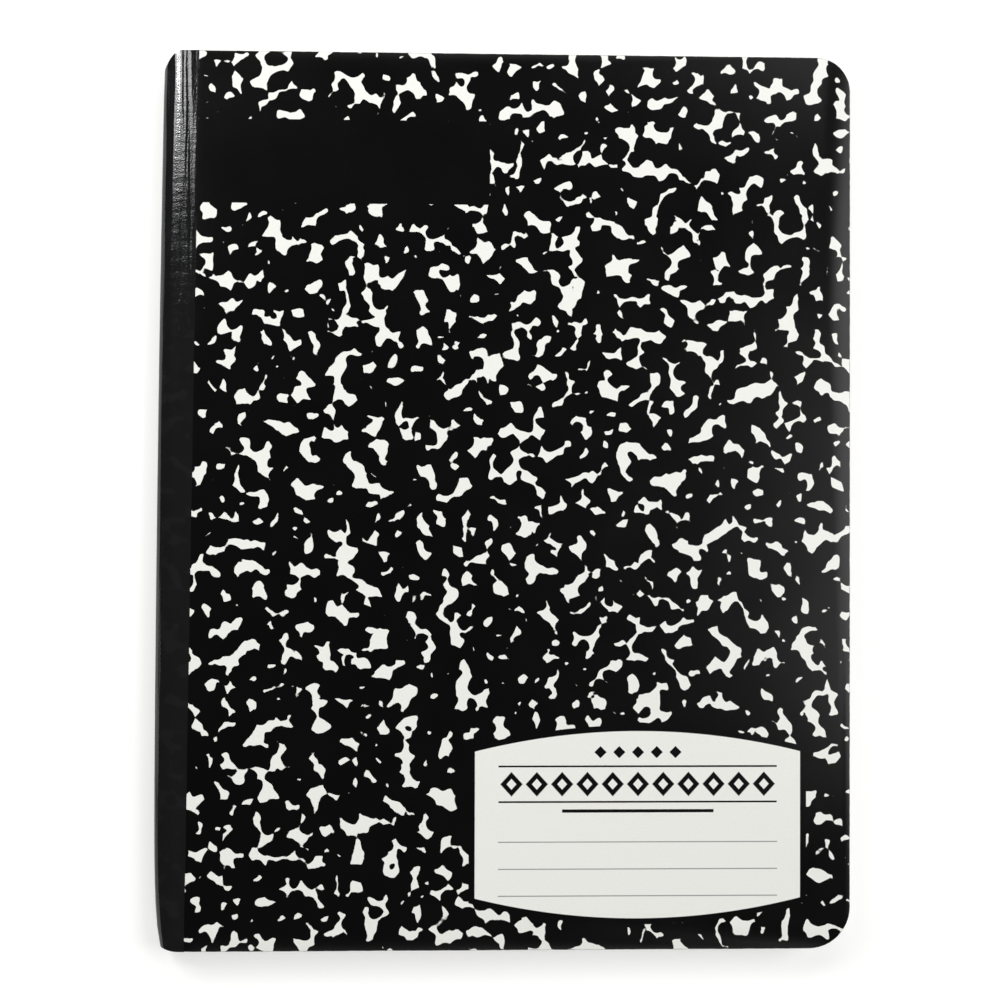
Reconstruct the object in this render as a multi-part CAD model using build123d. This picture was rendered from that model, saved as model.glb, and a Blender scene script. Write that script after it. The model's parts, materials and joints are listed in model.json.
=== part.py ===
"""A composition notebook, lying closed on its back cover, in millimetres.

One hundred ruled leaves are fifty sheets folded in half, nested, and sewn through the fold together with one
printed card cover that wraps round them. A black tape is pressed over the fold, so it hides the stitches and
reaches a little way on to both covers. Head, tail and fore edge are trimmed flush, and the two fore-edge
corners are rounded in the same cut.

+X runs from the spine to the fore edge, +Y from the tail to the head, +Z from the back cover to the front.
The origin is the middle of the base. Card and tape each bend at two straight hinge lines, one for each cover,
so each of them is a middle strip that stays with the pages and two panels that turn.
"""

import os

from build123d import *

# Sizes of the trimmed book
TRIM_WIDTH = 190.5
TRIM_HEIGHT = 247.65
HEAD_CORNER_RADIUS = 9.5
TAIL_CORNER_RADIUS = 11.5

# Paper and card
LEAF_COUNT = 100
LEAF_THICKNESS = 0.08
CARD_THICKNESS = 0.6

# Spine tape, pressed into the card until its face is flush
TAPE_THICKNESS = 0.12
TAPE_WING_WIDTH = 3.5  # past a hinge line, half-way along
TAPE_SKEW = 3.1  # the tape lies askew: this much wider on the front at the head than at the tail

# Hinges of the covers
HINGE_PAST_SHOULDER = 0.25  # from the end of the round of the spine to the hinge line
HINGE_GAP = 0.25  # width of the crease that a cover bends in
HINGE_LIFT = 0.1  # how far a hinge axis stands off the outer face

# Sewing thread: one run outside the fold, one inside it, and a rung between them at each needle hole
THREAD_DIAMETER = 0.3
RUNG_DIAMETER = 0.25  # pulled thinner through the needle holes
THREAD_CLEARANCE = 0.02  # all round, in its channels and holes
STITCH_LENGTH = 6.5

# Worked out from the sizes above
BLOCK_RADIUS = LEAF_COUNT * LEAF_THICKNESS / 2
TAPE_RADIUS = BLOCK_RADIUS + CARD_THICKNESS
CARD_RADIUS = TAPE_RADIUS - TAPE_THICKNESS
THICKNESS = 2 * TAPE_RADIUS
MIDDLE_Z = THICKNESS / 2
FORE_X = TRIM_WIDTH / 2
SPINE_X = -FORE_X
SHOULDER_X = SPINE_X + TAPE_RADIUS  # centre line of the round of the spine
HINGE_X = SHOULDER_X + HINGE_PAST_SHOULDER
PANEL_X = HINGE_X + HINGE_GAP  # where the covers begin
OUTER_RUN_X = SHOULDER_X - (CARD_RADIUS + BLOCK_RADIUS) / 2  # sunk half-way into the card
INNER_RUN_X = SHOULDER_X
SPARE = 2.0  # how far a tool runs past what it cuts


def along_spine(outline):
    """Runs a section, drawn in x and z as joined edges, from the tail to the head."""
    return extrude(Plane.XZ * make_face(outline), TRIM_HEIGHT / 2, both=True)


def slab(x_low, x_high, z_low, z_high):
    """A plain block between two x and two z, from the tail to the head."""
    middle = ((x_low + x_high) / 2, 0, (z_low + z_high) / 2)
    return Pos(*middle) * Box(x_high - x_low, TRIM_HEIGHT, z_high - z_low)


def round_fore_corners(solid):
    """Rounds the two upright corners at the fore edge."""
    tail_edge, head_edge = solid.edges().filter_by(Axis.Z).group_by(Axis.X)[-1].sort_by(Axis.Y)
    return solid.fillet(TAIL_CORNER_RADIUS, [tail_edge]).fillet(HEAD_CORNER_RADIUS, [head_edge])


def wrap(outer_radius, inner_radius):
    """A layer that goes round the spine, from one hinge line to the other."""
    outline = []
    for radius in (outer_radius, inner_radius):
        low, high = MIDDLE_Z - radius, MIDDLE_Z + radius
        outline += [
            Line((HINGE_X, low), (SHOULDER_X, low)),
            ThreePointArc((SHOULDER_X, low), (SHOULDER_X - radius, MIDDLE_Z), (SHOULDER_X, high)),
            Line((SHOULDER_X, high), (HINGE_X, high)),
        ]
    for side in (-1, 1):
        ends = [(HINGE_X, MIDDLE_Z + side * radius) for radius in (inner_radius, outer_radius)]
        outline.append(Line(*ends))
    return along_spine(outline)


def stitches(clearance=0.0):
    """The sewing thread, or with a clearance the tool that cuts its channels and needle holes."""
    run = Rot(90, 0, 0) * Cylinder(THREAD_DIAMETER / 2 + clearance, TRIM_HEIGHT)
    rung = Rot(0, 90, 0) * Cylinder(RUNG_DIAMETER / 2 + clearance, INNER_RUN_X - OUTER_RUN_X)
    count = int(TRIM_HEIGHT / STITCH_LENGTH)
    rungs = [
        Pos((OUTER_RUN_X + INNER_RUN_X) / 2, (i - (count - 1) / 2) * STITCH_LENGTH, MIDDLE_Z) * rung
        for i in range(count)
    ]
    return Pos(OUTER_RUN_X, 0, MIDDLE_Z) * run + [Pos(INNER_RUN_X, 0, MIDDLE_Z) * run, *rungs]


def page_block():
    """The nested leaves as one solid, with the channel and the needle holes of the thread."""
    low, high = MIDDLE_Z - BLOCK_RADIUS, MIDDLE_Z + BLOCK_RADIUS
    leaves = along_spine(
        [
            ThreePointArc((SHOULDER_X, low), (SHOULDER_X - BLOCK_RADIUS, MIDDLE_Z), (SHOULDER_X, high)),
            Line((SHOULDER_X, high), (FORE_X, high)),
            Line((FORE_X, high), (FORE_X, low)),
            Line((FORE_X, low), (SHOULDER_X, low)),
        ]
    )
    return round_fore_corners(leaves) - stitches(THREAD_CLEARANCE)


def cover_spine():
    """The card that goes round the fold. The outer run of the thread lies in an open channel in it."""
    half_width = THREAD_DIAMETER / 2 + THREAD_CLEARANCE
    mouth = slab(SPINE_X - SPARE, OUTER_RUN_X, MIDDLE_Z - half_width, MIDDLE_Z + half_width)
    return wrap(CARD_RADIUS, BLOCK_RADIUS) - [mouth, stitches(THREAD_CLEARANCE)]


def tape_wing(front):
    """The tape on one cover, past its hinge line. Its far edge runs askew."""
    lean = TAPE_SKEW / 2 if front else -TAPE_SKEW / 2
    plan = make_face(
        Polyline(
            (PANEL_X, -TRIM_HEIGHT / 2),
            (HINGE_X + TAPE_WING_WIDTH - lean, -TRIM_HEIGHT / 2),
            (HINGE_X + TAPE_WING_WIDTH + lean, TRIM_HEIGHT / 2),
            (PANEL_X, TRIM_HEIGHT / 2),
            close=True,
        )
    )
    return Pos(0, 0, THICKNESS - TAPE_THICKNESS if front else 0) * extrude(plan, TAPE_THICKNESS, dir=(0, 0, 1))


def cover(front):
    """One cover, from its hinge line to the fore edge, thinner where the tape is pressed into it."""
    low = THICKNESS - CARD_THICKNESS if front else 0
    return round_fore_corners(slab(PANEL_X, FORE_X, low, low + CARD_THICKNESS)) - tape_wing(front)


NODES = {
    "page_block": page_block(),
    "sewing_thread": stitches(),
    "cover_spine": cover_spine(),
    "front_cover": cover(front=True),
    "back_cover": cover(front=False),
    "spine_tape": wrap(TAPE_RADIUS, CARD_RADIUS),
    "front_tape": tape_wing(front=True),
    "back_tape": tape_wing(front=False),
}

os.makedirs("parts", exist_ok=True)
for name, solid in NODES.items():
    export_step(solid, f"parts/{name}.step")
print(f"hinge axes: x {HINGE_X:.3f}, front z {THICKNESS + HINGE_LIFT:.3f}, back z {-HINGE_LIFT:.3f}")
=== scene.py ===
"""A composition notebook: ruled leaves sewn through the fold into a printed card cover, with a black tape
pressed over the spine. Places are in metres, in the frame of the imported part, with +X from the spine to the
fore edge, +Y from the tail to the head and +Z from the back cover to the front.
"""

import json
import math
import random

import bmesh
import bpy
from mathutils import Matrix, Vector

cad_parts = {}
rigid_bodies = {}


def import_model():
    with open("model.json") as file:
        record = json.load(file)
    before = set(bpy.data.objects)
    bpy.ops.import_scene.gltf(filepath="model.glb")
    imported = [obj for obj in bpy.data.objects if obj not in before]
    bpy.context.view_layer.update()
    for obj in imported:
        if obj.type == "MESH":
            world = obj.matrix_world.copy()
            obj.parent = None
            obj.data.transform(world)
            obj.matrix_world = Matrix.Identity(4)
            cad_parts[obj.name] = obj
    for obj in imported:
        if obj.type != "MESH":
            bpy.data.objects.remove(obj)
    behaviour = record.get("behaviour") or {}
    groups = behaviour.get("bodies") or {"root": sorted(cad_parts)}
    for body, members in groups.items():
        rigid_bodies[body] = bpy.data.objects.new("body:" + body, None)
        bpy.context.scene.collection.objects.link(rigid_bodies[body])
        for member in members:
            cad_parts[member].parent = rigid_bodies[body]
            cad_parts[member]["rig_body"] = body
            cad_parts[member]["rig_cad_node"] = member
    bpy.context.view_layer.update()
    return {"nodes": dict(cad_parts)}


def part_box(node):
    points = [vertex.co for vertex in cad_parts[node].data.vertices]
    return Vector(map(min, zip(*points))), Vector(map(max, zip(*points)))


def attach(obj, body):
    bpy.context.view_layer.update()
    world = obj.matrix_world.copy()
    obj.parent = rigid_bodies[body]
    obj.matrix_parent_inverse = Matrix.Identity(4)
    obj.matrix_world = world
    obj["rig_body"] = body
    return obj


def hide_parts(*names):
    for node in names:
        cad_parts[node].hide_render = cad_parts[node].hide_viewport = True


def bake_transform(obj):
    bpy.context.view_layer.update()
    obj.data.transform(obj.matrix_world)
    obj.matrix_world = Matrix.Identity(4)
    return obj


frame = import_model()

# ---------------------------------------------------------------------------------------------------------
# The leaves: fifty sheets of ruled writing paper, each folded in half round the one before, so that the outer
# ones take a wider turn at the spine. They are trimmed flush in one cut with the cover, which rounds the two
# fore-edge corners, and the knife leaves each leaf a hair longer or shorter than the next.
MM = 0.001
SHEETS = 50
PAPER = 0.062 * MM
PITCH_START = 0.2 * MM  # the innermost fold goes round the thread
HEAD_CORNER = 9.5 * MM
TAIL_CORNER = 11.5 * MM
TRIM_SCATTER = 0.22 * MM
FOLD_STEPS = 8
ROWS = 40  # along the spine, for its swell
SWELL = 1.9 * MM  # how far the sewn fold bellies out past the trimmed head
PRESS_FROM = 11 * MM  # the press rounds the spine from this far in
PRESS_DEPTH = 0.2  # share of the thickness lost at the fold
HEAD_DROP = 5.0 * MM  # the knocked corner at the head of the spine

block_low, block_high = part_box("page_block")
block_radius = (block_high.z - block_low.z) / 2
shoulder_x = block_low.x + block_radius  # centre line of the round of the spine
middle_z = (block_high.z + block_low.z) / 2
fore_x, head_y, tail_y = block_high.x, block_high.y, block_low.y
height = head_y - tail_y
hinge_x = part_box("spine_tape")[1].x
spine_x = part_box("spine_tape")[0].x


def smooth(t):
    """0 to 1 with level ends."""
    t = min(1.0, max(0.0, t))
    return t * t * (3 - 2 * t)


def press(obj):
    """The spine as the binder's press and some use have left it: rounded, bellied, its head corner knocked."""
    for vertex in obj.data.vertices:
        place = vertex.co
        if place.x > spine_x + PRESS_FROM + 2 * MM:
            continue
        inward = max(0.0, (spine_x + PRESS_FROM - place.x) / PRESS_FROM)
        place.z = middle_z + (place.z - middle_z) * (1 - PRESS_DEPTH * inward**2)
        down = min(1.0, max(0.0, (head_y - place.y) / height))  # 0 at the head, 1 at the tail
        belly = SWELL * (1 - (1 - down) ** 2.2) * (1 - down**24)
        near = max(0.0, (hinge_x - place.x) / (hinge_x - spine_x))
        outer = near**1.8
        knocked = smooth((place.y - head_y + 14 * MM) / (14 * MM))
        nick = math.exp(-(((place.x - hinge_x + 1.0 * MM) / (0.4 * MM)) ** 2))
        place.y -= (HEAD_DROP * outer + 1.0 * MM * nick) * knocked
        place.y += 0.9 * MM * outer * smooth((tail_y + 5 * MM - place.y) / (5 * MM))
        place.x -= belly * near


def deselect():
    if bpy.context.mode != "OBJECT":
        bpy.ops.object.mode_set(mode="OBJECT")
    bpy.ops.object.select_all(action="DESELECT")


def pick(obj, kind, test):
    """In edit mode on obj, selects only the verts, edges or faces whose middle passes the test."""
    deselect()
    obj.select_set(True)
    bpy.context.view_layer.objects.active = obj
    bpy.ops.object.mode_set(mode="EDIT")
    bpy.ops.mesh.select_mode(type={"verts": "VERT", "edges": "EDGE", "faces": "FACE"}[kind])
    bpy.ops.mesh.select_all(action="DESELECT")
    mesh = bmesh.from_edit_mesh(obj.data)
    for item in getattr(mesh, kind):
        points = [item.co] if kind == "verts" else [v.co for v in item.verts]
        if all(test(p) for p in points):
            item.select_set(True)
    mesh.select_flush_mode()
    bmesh.update_edit_mesh(obj.data)


def near(value, target):
    return abs(value - target) < 0.02 * MM


def panel(name, x_low, z):
    """A flat trimmed sheet from x_low to the fore edge with its two rounded corners, and rows along the spine."""
    deselect()
    bpy.ops.mesh.primitive_plane_add(size=1, location=((x_low + fore_x) / 2, 0, z))
    sheet = bpy.context.active_object
    sheet.name = name
    sheet.scale = (fore_x - x_low, height, 1)
    bpy.ops.object.transform_apply(location=True, rotation=True, scale=True)
    for corner_y, radius in ((head_y, HEAD_CORNER), (tail_y, TAIL_CORNER)):
        pick(sheet, "verts", lambda p: near(p.x, fore_x) and near(p.y, corner_y))
        bpy.ops.mesh.bevel(offset=radius, segments=12, affect="VERTICES")
    pick(sheet, "edges", lambda p: near(p.x, x_low))
    bpy.ops.mesh.subdivide(number_cuts=ROWS - 1)
    bpy.ops.object.mode_set(mode="OBJECT")
    return sheet


def run_edge(obj, x, z, steps, step):
    """Extrudes the spine-side edge of obj, which lies at x and z, towards the spine or away from it."""
    for _ in range(steps):
        pick(obj, "edges", lambda p: near(p.x, x) and near(p.z, z))
        bpy.ops.mesh.extrude_region_move(TRANSFORM_OT_translate={"value": (step, 0, 0)})
        x += step
    bpy.ops.object.mode_set(mode="OBJECT")


def fold_round(obj, z, steps):
    """Spins the edge at the shoulder half a turn round the spine's centre line, from the front to the back."""
    pick(obj, "edges", lambda p: near(p.x, shoulder_x) and near(p.z, z))
    bpy.ops.mesh.spin(steps=steps, angle=math.pi, center=(shoulder_x, 0, middle_z), axis=(0, 1, 0))
    bpy.ops.object.mode_set(mode="OBJECT")


def apply_modifier(obj, kind, **settings):
    modifier = obj.modifiers.new(kind.title(), kind)
    for key, value in settings.items():
        setattr(modifier, key, value)
    bpy.context.view_layer.objects.active = obj
    bpy.ops.object.modifier_apply(modifier=modifier.name)


def close_up(obj, doubles=0.004 * MM):
    """Merges what an extrusion or a spin left double, and turns all faces one way."""
    pick(obj, "verts", lambda p: True)
    bpy.ops.mesh.remove_doubles(threshold=doubles)
    bpy.ops.mesh.normals_make_consistent(inside=False)
    bpy.ops.object.mode_set(mode="OBJECT")


sheet_radius = block_radius - PAPER / 2
first = panel("leaves", shoulder_x, middle_z + sheet_radius)
fold_round(first, middle_z + sheet_radius, FOLD_STEPS)
lower = panel("lower_half", shoulder_x, middle_z - sheet_radius)
deselect()
lower.select_set(True)
first.select_set(True)
bpy.context.view_layer.objects.active = first
bpy.ops.object.join()
close_up(first)

random.seed(7)
sheets = [first]
for number in range(1, SHEETS):
    copy = first.copy()
    copy.data = first.data.copy()
    bpy.context.scene.collection.objects.link(copy)
    sheets.append(copy)
for number, sheet in enumerate(sheets):
    share = 1 - number / (SHEETS - 1)
    fold_radius = PITCH_START + (sheet_radius - PITCH_START) * share
    edge_radius = PAPER / 2 + 0.008 * MM + (sheet_radius - PAPER / 2 - 0.008 * MM) * share
    trims = {side: random.uniform(0, TRIM_SCATTER) for side in ("front", "back", "head", "tail")}
    for vertex in sheet.data.vertices:
        place = vertex.co
        out = max(0.0, (place.x - shoulder_x) / (fore_x - shoulder_x))
        radius = fold_radius + (edge_radius - fold_radius) * out
        side = "front" if place.z > middle_z else "back"
        place.z = middle_z + (place.z - middle_z) * radius / sheet_radius
        if place.x < shoulder_x:
            place.x = shoulder_x + (place.x - shoulder_x) * fold_radius / sheet_radius
        else:
            place.x -= trims[side] * out
        place.y *= 1 - (trims["head"] if place.y > 0 else trims["tail"]) / (height / 2)
deselect()
for sheet in sheets:
    sheet.select_set(True)
bpy.context.view_layer.objects.active = first
bpy.ops.object.join()
leaves = first
apply_modifier(leaves, "SOLIDIFY", thickness=PAPER, offset=0)
press(leaves)
deselect()
leaves.select_set(True)
bpy.context.view_layer.objects.active = leaves
bpy.ops.object.shade_smooth_by_angle(angle=math.radians(40))


def linear(hex_colour):
    """A hex sRGB colour as the linear RGBA that a shader takes."""
    parts = [int(hex_colour[i : i + 2], 16) / 255 for i in (1, 3, 5)]
    return (*[c / 12.92 if c <= 0.04045 else ((c + 0.055) / 1.055) ** 2.4 for c in parts], 1)


def add(tree, kind, links=None, **settings):
    """Adds one node: settings are its properties, and links are inputs by name or number, as values or sockets."""
    node = tree.nodes.new("ShaderNode" + kind)
    for key, value in settings.items():
        setattr(node, key, value)
    for key, value in (links or {}).items():
        if isinstance(value, bpy.types.NodeSocket):
            tree.links.new(value, node.inputs[key])
        else:
            node.inputs[key].default_value = value
    return node


def new_material(name, **values):
    """An empty material whose Principled shader already has its plain values."""
    material = bpy.data.materials.new(name)
    material.use_nodes = True
    tree = material.node_tree
    tree.nodes.clear()
    shader = add(tree, "BsdfPrincipled", values)
    add(tree, "OutputMaterial", {"Surface": shader.outputs[0]})
    return material, tree, shader


def mix_colour(tree, share, low, high):
    """A colour between two, each a hex string or a socket."""
    low, high = (linear(c) if isinstance(c, str) else c for c in (low, high))
    return add(tree, "Mix", {0: share, 6: low, 7: high}, data_type="RGBA").outputs[2]


def calc(tree, operation, *values):
    """One Math node on up to three values or sockets."""
    return add(tree, "Math", dict(enumerate(values)), operation=operation).outputs[0]


def step_up(tree, value, edge, softness):
    """0 below the edge and 1 above it."""
    ends = {0: value, 1: edge - softness, 2: edge + softness}
    return add(tree, "MapRange", ends, interpolation_type="SMOOTHSTEP").outputs[0]


def object_mm(tree):
    """The place on the object in millimetres."""
    place = add(tree, "TexCoord").outputs["Object"]
    return add(tree, "VectorMath", {0: place, 1: (1 / MM,) * 3}, operation="MULTIPLY").outputs[0]


# Uncoated wood-free writing paper, calendered: an off-white with a faint fibre cloud and a dry, even surface.
# Pale blue feint lines run off all edges, and a red margin line runs from head to tail.
RULE_PITCH = 7.1
RULE_WIDTH = 0.28
HEADER = 25.0
MARGIN = 31.75
paper, tree, shader = new_material("ruled_writing_paper", Roughness=0.82, IOR=1.45)
place = object_mm(tree)
split = add(tree, "SeparateXYZ", {0: place})
cloud = add(tree, "TexNoise", {"Vector": place, "Scale": 1 / 3.5, "Detail": 4}).outputs[0]
fibre = add(tree, "TexNoise", {"Vector": place, "Scale": 1 / 0.35, "Detail": 2}).outputs[0]
base = mix_colour(tree, cloud, "#e3e1d8", "#ebe9e0")
from_head = calc(tree, "SUBTRACT", head_y / MM - HEADER, split.outputs[1])
wrapped = calc(tree, "PINGPONG", from_head, RULE_PITCH / 2)
off_line = calc(tree, "ABSOLUTE", wrapped)
on_rule = calc(tree, "SUBTRACT", 1, step_up(tree, off_line, RULE_WIDTH / 2, 0.06))
on_rule = calc(tree, "MULTIPLY", on_rule, step_up(tree, from_head, -1.0, 0.1))
off_margin = calc(tree, "ABSOLUTE", calc(tree, "SUBTRACT", split.outputs[0], spine_x / MM + MARGIN))
on_margin = calc(tree, "SUBTRACT", 1, step_up(tree, off_margin, RULE_WIDTH / 2, 0.06))
ruled = mix_colour(tree, calc(tree, "MULTIPLY", on_rule, 0.75), base, "#7fa6cf")
ruled = mix_colour(tree, calc(tree, "MULTIPLY", on_margin, 0.8), ruled, "#d98a94")
# Faces that stand on edge take a darker, banded colour: partly each leaf's own tone, partly painted shade of the
# gaps between the leaves.
facing = add(tree, "SeparateXYZ", {0: add(tree, "NewGeometry").outputs["Normal"]}).outputs[2]
flat = step_up(tree, calc(tree, "ABSOLUTE", facing), 0.7, 0.1)
leaf_bands_and_gap_shade = add(
    tree,
    "TexNoise",
    {"Vector": add(tree, "Mapping", {0: place, 3: (0.02, 0.02, 1.7)}).outputs[0], "Scale": 1, "Detail": 3},
).outputs[0]
edge_tone_and_gap_shade = mix_colour(tree, step_up(tree, leaf_bands_and_gap_shade, 0.5, 0.22), "#a9a598", "#efece3")
tree.links.new(mix_colour(tree, flat, edge_tone_and_gap_shade, ruled), shader.inputs["Base Color"])
bump = add(tree, "Bump", {"Strength": 0.25, "Distance": 0.02 * MM, "Height": fibre})
tree.links.new(bump.outputs[0], shader.inputs["Normal"])
leaves.data.materials.clear()
leaves.data.materials.append(paper)
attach(leaves, "pages")
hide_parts("page_block")

# ---------------------------------------------------------------------------------------------------------
# The sewing thread: a bleached cotton lock stitch through the fold, one run inside it and one outside, under
# the tape. It follows the fold as the press has left it.
thread = frame["nodes"]["sewing_thread"].copy()
thread.data = thread.data.copy()
thread.name = "lock_stitch"
thread.parent = None
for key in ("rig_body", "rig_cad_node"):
    del thread[key]
bpy.context.scene.collection.objects.link(thread)
close_up(thread, doubles=0.001 * MM)
pick(thread, "verts", lambda p: True)
for row in range(1, ROWS):
    pick(thread, "verts", lambda p: True)
    cut_y = tail_y + height * row / ROWS + 0.1 * MM
    bpy.ops.mesh.bisect(plane_co=(0, cut_y, 0), plane_no=(0, 1, 0))
bpy.ops.object.mode_set(mode="OBJECT")
press(thread)

# Spun and bleached cotton, two plies: dull, slightly hairy white with a slanting twist.
TWIST_PITCH = 0.6
cotton, tree, shader = new_material("bleached_cotton_thread", Roughness=0.9)
shader.inputs["Sheen Weight"].default_value = 0.3
turned = add(tree, "Mapping", {0: object_mm(tree), 2: (0, 0, math.radians(35))}).outputs[0]
waves = {"Vector": turned, "Scale": 1 / (TWIST_PITCH * 3), "Distortion": 0.4}
twist = add(tree, "TexWave", waves, bands_direction="Y").outputs[1]
tree.links.new(mix_colour(tree, twist, "#c9c5ba", "#efece4"), shader.inputs["Base Color"])
bump = add(tree, "Bump", {"Strength": 0.6, "Distance": 0.05 * MM, "Height": twist})
tree.links.new(bump.outputs[0], shader.inputs["Normal"])
thread.data.materials.clear()
thread.data.materials.append(cotton)
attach(thread, "pages")
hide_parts("sewing_thread")

# ---------------------------------------------------------------------------------------------------------
# The cover: one piece of printed card that goes from the front round the fold to the back. It is shown in two
# pieces that meet on the back beside the fold. The print runs on from one to the other. The cut edges show the
# pale core of the card.
CARD = 0.53 * MM
CARD_OUTER = 4.57 * MM  # the card's outer face, from the middle of the book
BEND_AFTER = 0.75 * MM
BEND_STEPS = 5
ROUND_STEPS = 28
RAMP_STEPS = 10
EDGE_ROUNDING = 0.14 * MM

bend_end_x = hinge_x + BEND_AFTER
ramp_end_x = spine_x + PRESS_FROM
layout_span = 2 * (fore_x - shoulder_x) + math.pi * CARD_OUTER


def shaped_card(name, outer, with_round, fore=None):
    """A layer of the cover before it gets its thickness: the front with the round of the spine, or the back."""
    z = middle_z + outer if with_round else middle_z - outer
    sheet = panel(name, ramp_end_x, z)
    run_edge(sheet, ramp_end_x, z, RAMP_STEPS, (bend_end_x - ramp_end_x) / RAMP_STEPS)
    run_edge(sheet, bend_end_x, z, BEND_STEPS, (shoulder_x - bend_end_x) / BEND_STEPS)
    if with_round:
        fold_round(sheet, z, ROUND_STEPS)
    close_up(sheet)
    return sheet


def face_outwards(sheet):
    """Turns an open layer so that its faces look away from the pages."""
    sheet.data.update()
    face = max(sheet.data.polygons, key=lambda f: f.area)
    if face.normal.z * (face.center.z - middle_z) < 0:
        sheet.data.flip_normals()


def lay_out(sheet):
    """The print's own flat layout: U from the back's fore edge round the spine to the front's, V from the tail."""
    layer = sheet.data.uv_layers.new(name="print") if not sheet.data.uv_layers else sheet.data.uv_layers[0]
    layer.name = "print"
    for loop in sheet.data.loops:
        place = sheet.data.vertices[loop.vertex_index].co
        along, up = place.x - shoulder_x, place.z - middle_z
        if along < 0:
            along = -CARD_OUTER * math.atan2(-along, up)
        elif up < 0:
            along = -math.pi * CARD_OUTER - along
        back_width = fore_x - shoulder_x + math.pi * CARD_OUTER
        layer.data[loop.index].uv = ((along + back_width) / layout_span, (place.y - tail_y) / layout_span)


def print_mm(tree):
    """The place on the flat print in millimetres: X as on the front cover, running on round the spine."""
    across = shoulder_x - (fore_x - shoulder_x) - math.pi * CARD_OUTER
    scale = layout_span / MM
    uv = add(tree, "UVMap", uv_map="print").outputs[0]
    moved = {0: uv, 1: (scale,) * 3, 2: (across / MM, tail_y / MM, 0)}
    return add(tree, "VectorMath", moved, operation="MULTIPLY_ADD").outputs[0]


def marbling(tree, place, threshold=-0.19, softness=0.06):
    """1 where the white of the stone marbling shows between the black: drops of three sizes, pushed together."""
    for size, amount in ((12.6, 1.26), (3.15, 0.42)):
        noise = add(
            tree, "TexNoise", {"Vector": place, "Scale": 1 / size, "Detail": 0}, noise_dimensions="2D"
        ).outputs["Color"]
        centred = {0: noise, 1: (2 * amount,) * 3, 2: (-amount,) * 3}
        push = add(tree, "VectorMath", centred, operation="MULTIPLY_ADD").outputs[0]
        place = add(tree, "VectorMath", {0: place, 1: push}, operation="ADD").outputs[0]
    black = None
    for number, (spacing, radius) in enumerate(((6.3, 2.52), (6.3, 2.41), (4.7, 1.68))):
        moved = {0: place, 1: (137 * number + 11, 71 * number + 5, 0)}
        moved = add(tree, "VectorMath", moved, operation="ADD").outputs[0]
        drops = add(
            tree,
            "TexVoronoi",
            {"Vector": moved, "Scale": 1 / spacing, "Randomness": 1},
            voronoi_dimensions="2D",
        ).outputs["Distance"]
        drop = calc(tree, "MULTIPLY_ADD", drops, -spacing, radius)
        black = drop if black is None else calc(tree, "SMOOTH_MAX", black, drop, 1.15)
    stretched = add(tree, "VectorMath", {0: place, 1: (1 / 0.95, 1, 1)}, operation="MULTIPLY").outputs[0]
    moved = add(tree, "VectorMath", {0: place, 1: (301, 77, 0)}, operation="ADD").outputs[0]
    for vector, size, detail, amount in ((stretched, 5.25, 1, 2.52), (moved, 1.57, 2, 0.21)):
        noise = add(
            tree, "TexNoise", {"Vector": vector, "Scale": 1 / size, "Detail": detail}, noise_dimensions="2D"
        ).outputs[0]
        black = calc(tree, "ADD", black, calc(tree, "MULTIPLY_ADD", noise, 2 * amount, -amount))
    return calc(tree, "SUBTRACT", 1, step_up(tree, black, threshold, softness))


def between(tree, value, low, high, softness=0.07):
    """1 where a value lies between two others."""
    over = step_up(tree, value, low, softness)
    return calc(tree, "SUBTRACT", over, step_up(tree, value, high, softness))


def both(tree, *shares):
    """Where all of the shares hold."""
    result = shares[0]
    for share in shares[1:]:
        result = calc(tree, "MULTIPLY", result, share)
    return result


def lozenges(tree, x, y, middle, pitch, count, half_high, half_wide):
    """A row of lozenges, count of them, centred on middle."""
    from_middle = calc(tree, "SUBTRACT", x, middle[0])
    shifted = calc(tree, "ADD", from_middle, pitch / 2 * (count % 2) + pitch * count)
    along = calc(tree, "ABSOLUTE", calc(tree, "SUBTRACT", calc(tree, "MODULO", shifted, pitch), pitch / 2))
    up = calc(tree, "ABSOLUTE", calc(tree, "SUBTRACT", y, middle[1]))
    reach = calc(
        tree, "ADD", calc(tree, "DIVIDE", along, half_wide), calc(tree, "DIVIDE", up, half_high)
    )
    inside = calc(tree, "SUBTRACT", 1, step_up(tree, reach, 1, 0.06))
    within = calc(tree, "SUBTRACT", 1, step_up(tree, calc(tree, "ABSOLUTE", from_middle), pitch * count / 2, 0.05))
    return both(tree, inside, within)


# The label printed on the front, with its bowed head and tail, and the bare band near the head
LABEL_MIDDLE_X = 36.2
LABEL_HALF_WIDTH = 45.1
LABEL_HEAD = -69.2
LABEL_TAIL = -109.6
LABEL_BOW = 5.6
LABEL_BORDER = 1.7
BAND = (-95.0, -5.2, 81.8, 105.0)
WRITING_LINES = (-94.15, -101.6, -109.0)
LINE_ENDS = (-2.5, 74.9)
LINE_WIDTH = 0.3


def label_shape(tree, x, y, grown):
    """1 inside the label's outline, made larger all round by grown."""
    off = calc(tree, "ABSOLUTE", calc(tree, "SUBTRACT", x, LABEL_MIDDLE_X))
    share = calc(tree, "DIVIDE", off, LABEL_HALF_WIDTH)
    bow = calc(tree, "MULTIPLY_ADD", calc(tree, "MULTIPLY", share, share), -LABEL_BOW, LABEL_BOW + grown)
    under = step_up(tree, calc(tree, "SUBTRACT", calc(tree, "ADD", bow, LABEL_HEAD), y), 0, 0.08)
    over = step_up(tree, calc(tree, "ADD", calc(tree, "SUBTRACT", y, LABEL_TAIL), bow), 0, 0.08)
    within = calc(tree, "SUBTRACT", 1, step_up(tree, off, LABEL_HALF_WIDTH + grown, 0.08))
    return both(tree, under, over, within)


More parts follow.
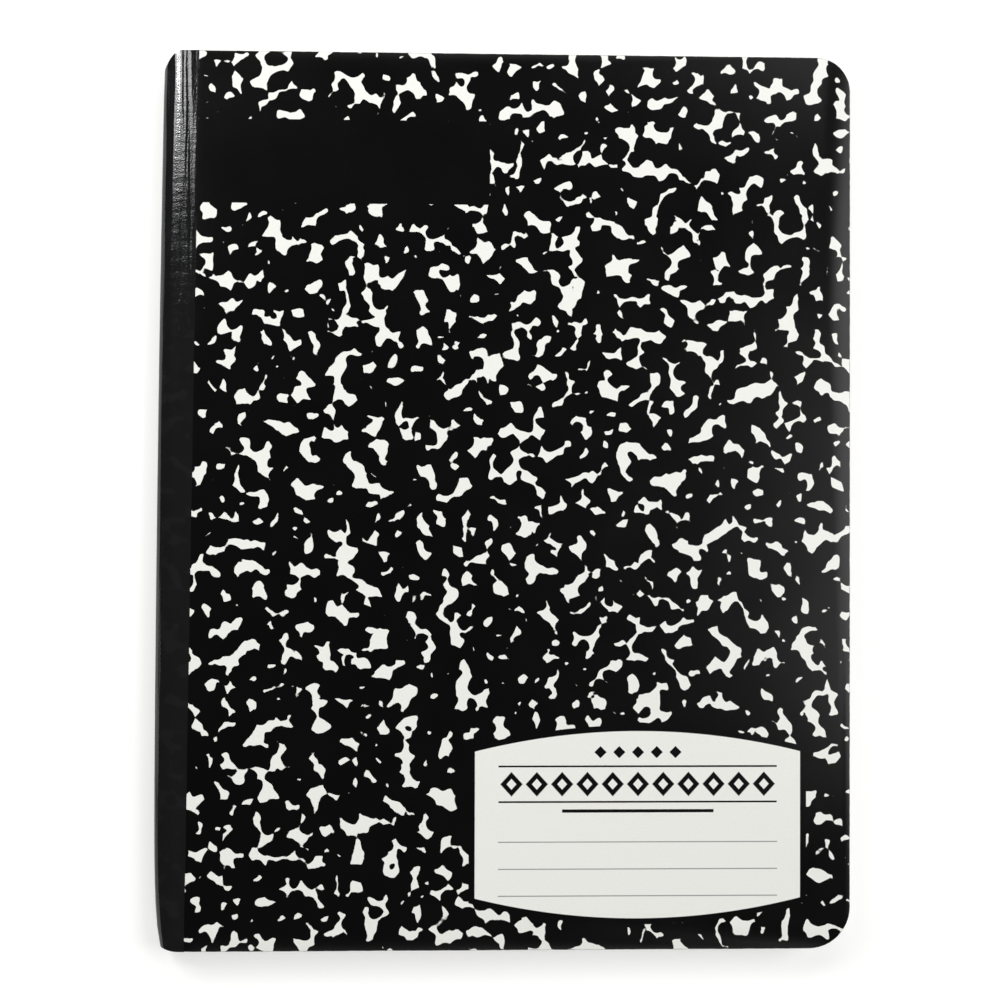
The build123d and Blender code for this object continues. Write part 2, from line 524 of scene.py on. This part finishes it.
# Bristol board, printed black by offset over a white coating and sealed with a matt aqueous varnish: a deep,
# even black with a soft broad gloss, whites of a warm grey-white with fine grain, and crisp edges between.
board, tree, shader = new_material("varnished_printed_board", Roughness=0.3, IOR=1.45)
shader.inputs["Specular IOR Level"].default_value = 0.2
place = print_mm(tree)
split = add(tree, "SeparateXYZ", {0: place})
x, y = split.outputs[0], split.outputs[1]
white = marbling(tree, place)
band = both(tree, between(tree, x, BAND[0], BAND[1]), between(tree, y, BAND[2], BAND[3]))
white = calc(tree, "MULTIPLY", white, calc(tree, "SUBTRACT", 1, band))
on_border = label_shape(tree, x, y, LABEL_BORDER)
white = calc(tree, "MULTIPLY", white, calc(tree, "SUBTRACT", 1, on_border))
white = calc(tree, "MAXIMUM", white, label_shape(tree, x, y, 0))
grain = add(tree, "TexNoise", {"Vector": place, "Scale": 1 / 0.45, "Detail": 3}).outputs[0]
patchy = add(tree, "TexNoise", {"Vector": place, "Scale": 1 / 22, "Detail": 2}).outputs[0]
white_ink = mix_colour(tree, grain, "#e2e2dc", "#eeeee9")
black_ink = mix_colour(tree, patchy, "#060607", "#0b0b0b")
printed = mix_colour(tree, white, black_ink, white_ink)
lines = None
for line_y in WRITING_LINES:
    line = between(tree, y, line_y - LINE_WIDTH / 2, line_y + LINE_WIDTH / 2)
    lines = line if lines is None else calc(tree, "ADD", lines, line)
lines = both(tree, lines, between(tree, x, *LINE_ENDS))
printed = mix_colour(tree, calc(tree, "MULTIPLY", lines, 0.75), printed, "#5c5c5a")
ornaments = lozenges(tree, x, y, (LABEL_MIDDLE_X, -69.4), 5.2, 5, 1.7, 1.7)
ornaments = calc(
    tree, "ADD", ornaments, lozenges(tree, x, y, (LABEL_MIDDLE_X, -78.2), 7.0, 11, 3.4, 3.1)
)
cores = lozenges(tree, x, y, (LABEL_MIDDLE_X, -78.2), 7.0, 11, 1.5, 1.35)
ornaments = calc(tree, "SUBTRACT", ornaments, cores)
for rule_y, rule_width in ((-73.3, 0.5), (-83.1, 0.5), (-85.6, 0.9)):
    rule = between(tree, y, rule_y - rule_width / 2, rule_y + rule_width / 2)
    reach = 38.6 if rule_y > -84 else 21
    rule = both(tree, rule, between(tree, x, LABEL_MIDDLE_X - reach, LABEL_MIDDLE_X + reach))
    ornaments = calc(tree, "MAXIMUM", ornaments, rule)
printed = mix_colour(tree, ornaments, printed, "#0c0c0d")
tree.links.new(printed, shader.inputs["Base Color"])
rough = calc(tree, "MULTIPLY_ADD", patchy, 0.08, 0.19)
tree.links.new(rough, shader.inputs["Roughness"])
tooth = add(tree, "TexNoise", {"Vector": place, "Scale": 1 / 0.8, "Detail": 3}).outputs[0]
bump = add(tree, "Bump", {"Strength": 0.3, "Distance": 0.01 * MM, "Height": tooth})
tree.links.new(bump.outputs[0], shader.inputs["Normal"])

# The same board's uncoated inner face: greyish white, dull, with short fibres.
lining, tree, shader = new_material("uncoated_board", Roughness=0.85)
place = object_mm(tree)
fibres = add(tree, "TexNoise", {"Vector": place, "Scale": 1 / 0.6, "Detail": 4}).outputs[0]
shade = add(tree, "TexNoise", {"Vector": place, "Scale": 1 / 12, "Detail": 3}).outputs[0]
inner = mix_colour(tree, fibres, "#dcdad2", "#ebe9e2")
tree.links.new(
    mix_colour(tree, calc(tree, "MULTIPLY", shade, 0.4), inner, "#d3d0c5"), shader.inputs["Base Color"]
)
bump = add(tree, "Bump", {"Strength": 0.3, "Distance": 0.02 * MM, "Height": fibres})
tree.links.new(bump.outputs[0], shader.inputs["Normal"])

# The board's cut edge: pale fibre, torn a little by the knife and greyed by handling, some of the black drawn over.
core, tree, shader = new_material("cut_board_edge", Roughness=0.9)
place = object_mm(tree)
worn = add(tree, "TexNoise", {"Vector": place, "Scale": 1 / 2.5, "Detail": 5}).outputs[0]
layers = add(tree, "TexNoise", {"Vector": place, "Scale": 1 / 0.25, "Detail": 2}).outputs[0]
edge = mix_colour(tree, layers, "#8f8d86", "#c4c1b8")
tree.links.new(
    mix_colour(tree, step_up(tree, worn, 0.5, 0.12), "#26262a", edge), shader.inputs["Base Color"]
)
bump = add(tree, "Bump", {"Strength": 0.5, "Distance": 0.03 * MM, "Height": layers})
tree.links.new(bump.outputs[0], shader.inputs["Normal"])


def give_body(sheet, thickness, materials, rounding):
    """Thickens a layer inwards, rounds its cut edges, then presses it with the rest of the book."""
    face_outwards(sheet)
    lay_out(sheet)
    sheet.data.materials.clear()
    for material in materials:
        sheet.data.materials.append(material)
    last = len(materials) - 1
    apply_modifier(
        sheet,
        "SOLIDIFY",
        thickness=thickness,
        offset=-1,
        use_even_offset=True,
        material_offset=min(1, last),
        material_offset_rim=last,
    )
    if rounding:
        apply_modifier(
            sheet,
            "BEVEL",
            width=rounding,
            segments=2,
            limit_method="ANGLE",
            angle_limit=math.radians(60),
            material=last,
        )
    press(sheet)
    deselect()
    sheet.select_set(True)
    bpy.context.view_layer.objects.active = sheet
    bpy.ops.object.shade_smooth_by_angle(angle=math.radians(40))


def bends(piece):
    """Bakes the piece's placement into its mesh."""
    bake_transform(piece)


front_board = shaped_card("front_board", CARD_OUTER, with_round=True)
back_board = shaped_card("back_board", CARD_OUTER, with_round=False)
for sheet in (front_board, back_board):
    give_body(sheet, CARD, (board, lining, core), EDGE_ROUNDING)
bends(front_board)
bends(back_board)
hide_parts("front_cover", "cover_spine")
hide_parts("back_cover")

# ---------------------------------------------------------------------------------------------------------
# The spine tape: a strip of coated book cloth, glued on over the fold after sewing and pressed down, so that
# it hides the stitches. It went on askew, wider on the front at the head than at the tail.
TAPE = 0.1 * MM
TAPE_OUTER = CARD_OUTER + TAPE
wing_low, wing_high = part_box("front_tape")
wing_middle = hinge_x + 3.5 * MM
wing_lean = wing_high.x - wing_middle


def shaped_tape(name, with_round):
    """A layer of tape with its skewed far edge, from a wing beside the hinge, round the spine or not."""
    z = middle_z + TAPE_OUTER if with_round else middle_z - TAPE_OUTER
    deselect()
    bpy.ops.mesh.primitive_plane_add(size=1, location=((bend_end_x + wing_middle) / 2, 0, z))
    sheet = bpy.context.active_object
    sheet.name = name
    sheet.scale = (wing_middle - bend_end_x, height, 1)
    bpy.ops.object.transform_apply(location=True, rotation=True, scale=True)
    pick(sheet, "edges", lambda p: near(p.y, head_y))
    bpy.ops.mesh.select_all(action="SELECT")
    bpy.ops.mesh.subdivide(number_cuts=3)
    for row in range(1, ROWS):
        bpy.ops.mesh.select_all(action="SELECT")
        bpy.ops.mesh.bisect(plane_co=(0, tail_y + height * row / ROWS, 0), plane_no=(0, 1, 0))
    bpy.ops.object.mode_set(mode="OBJECT")
    close_up(sheet)
    lean = wing_lean if with_round else -wing_lean
    for vertex in sheet.data.vertices:
        out = (vertex.co.x - bend_end_x) / (wing_middle - bend_end_x)
        ragged = 0.05 * MM * math.sin(vertex.co.y / MM * 0.21) * math.sin(vertex.co.y / MM * 0.083 + 1)
        vertex.co.x += (lean * vertex.co.y / (height / 2) + ragged) * out
    run_edge(sheet, bend_end_x, z, BEND_STEPS, (shoulder_x - bend_end_x) / BEND_STEPS)
    if with_round:
        fold_round(sheet, z, ROUND_STEPS)
    close_up(sheet)
    return sheet


# Cotton book cloth filled and coated with black acrylic: charcoal, smoother and glossier than the board, with
# a fine grain that breaks its highlights into sparkle. The print under it just shows through.
cloth, tree, shader = new_material("coated_book_cloth", Roughness=0.1, IOR=1.5)
shader.inputs["Specular IOR Level"].default_value = 0.9
place = print_mm(tree)
through = marbling(tree, place, softness=0.5)
mottle = add(tree, "TexNoise", {"Vector": place, "Scale": 1 / 6, "Detail": 3}).outputs[0]
charcoal = mix_colour(tree, mottle, "#101011", "#151516")
charcoal = mix_colour(tree, calc(tree, "MULTIPLY", through, 0.35), charcoal, "#202022")
tree.links.new(charcoal, shader.inputs["Base Color"])
tree.links.new(calc(tree, "MULTIPLY_ADD", mottle, 0.05, 0.065), shader.inputs["Roughness"])
ridges = add(tree, "Mapping", {0: place, 3: (0.42, 0.022, 1)}).outputs[0]
puckers = add(tree, "Mapping", {0: place, 3: (0.12, 0.5, 1)}).outputs[0]
bump = None
for where, scale, detail, depth in (
    (ridges, 1, 1.5, 0.42),
    (puckers, 1, 1, 0.035),
    (place, 1 / 0.42, 1, 0.028),
):
    height_map = add(tree, "TexNoise", {"Vector": where, "Scale": scale, "Detail": detail}).outputs[0]
    layered = {"Strength": 1, "Distance": depth * MM, "Height": height_map}
    if bump:
        layered["Normal"] = bump.outputs[0]
    bump = add(tree, "Bump", layered)
tree.links.new(bump.outputs[0], shader.inputs["Normal"])

spine_wrap = shaped_tape("front_and_spine_tape", with_round=True)
back_wing = shaped_tape("back_tape_wing", with_round=False)
for sheet in (spine_wrap, back_wing):
    give_body(sheet, TAPE, (cloth,), 0)
bends(spine_wrap)
bends(back_wing)
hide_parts("spine_tape", "front_tape")
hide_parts("back_tape")

# ---------------------------------------------------------------------------------------------------------
# The studio: a white table, soft lamps to the right and left, and a lamp at the head that the tape mirrors.
FLOOR_DROP = 1.0 * MM  # the back cover, turned right over, still lies on the table

deselect()
bpy.ops.mesh.primitive_plane_add(size=6, location=(0, 0, -FLOOR_DROP))
floor = bpy.context.active_object
floor.name = "white_table"
# Matt white laminate. For the camera alone it also glows white, weaker within about 0.35 m of the book and full
# from 1.6 m out: a painted glow that keeps the table white, with painted shade round the book, while the book's
# soft shadow stays.
laminate, tree, shader = new_material("matt_white_laminate", Roughness=0.9)
shader.inputs["Base Color"].default_value = linear("#ceceCC")
shader.inputs["Specular IOR Level"].default_value = 0.1
shader.inputs["Emission Color"].default_value = (1, 1, 1, 1)
path = add(tree, "LightPath")
away = add(tree, "VectorMath", {0: add(tree, "TexCoord").outputs["Object"]}, operation="LENGTH").outputs["Value"]
# Painted glow for camera rays only, dimmer near the book as painted shade.
painted_floor_glow = add(tree, "MapRange", {0: away, 1: 0.35, 2: 1.6, 3: 0.47, 4: 1.0}, interpolation_type="SMOOTHSTEP")
tree.links.new(calc(tree, "MULTIPLY", path.outputs["Is Camera Ray"], painted_floor_glow.outputs[0]), shader.inputs["Emission Strength"])
floor.data.materials.append(laminate)


def lamp(name, place, target, size, power, size_y=None):
    data = bpy.data.lights.new(name, "AREA")
    data.shape = "RECTANGLE"
    data.size, data.size_y = size, size_y or size
    data.energy = power
    light = bpy.data.objects.new(name, data)
    light.location = place
    light.rotation_euler = (Vector(target) - Vector(place)).to_track_quat("-Z", "Y").to_euler()
    bpy.context.scene.collection.objects.link(light)
    return light


lamp("key_right", (1.2, 0.2, 1.2), (0, 0, 0), 1.0, 18)
lamp("fill_head", (0.25, 1.4, 1.1), (0, 0, 0), 0.9, 7.6)
lamp("fill_tail", (0.15, -1.4, 1.1), (0, 0, 0), 0.9, 7.6)
lamp("tape_glow", (-0.5, 0.37, 0.6), (-0.09, 0.37, 0), 0.28, 3.0, 0.56)
lamp("tape_strip", (-0.33, 0.33, 0.42), (-0.09, 0.33, 0), 0.24, 0.9, 0.03)

world = bpy.data.worlds.new("studio")
bpy.context.scene.world = world
world.use_nodes = True
sky = world.node_tree.nodes["Background"]
sky.inputs["Color"].default_value = (1, 1, 1, 1)
path = add(world.node_tree, "LightPath")
world.node_tree.links.new(
    calc(world.node_tree, "MAXIMUM", path.outputs["Is Camera Ray"], 0.05), sky.inputs["Strength"]
)

camera_data = bpy.data.cameras.new("camera")
camera_data.lens = 77.1
camera_data.sensor_width = 36
camera = bpy.data.objects.new("camera", camera_data)
camera.location = (-0.02764, -0.00869, 0.6)
camera.rotation_euler = [math.radians(a) for a in (0.852, -2.469, 0.159)]
bpy.context.scene.collection.objects.link(camera)
bpy.context.scene.camera = camera
bpy.context.scene.view_settings.view_transform = "Standard"
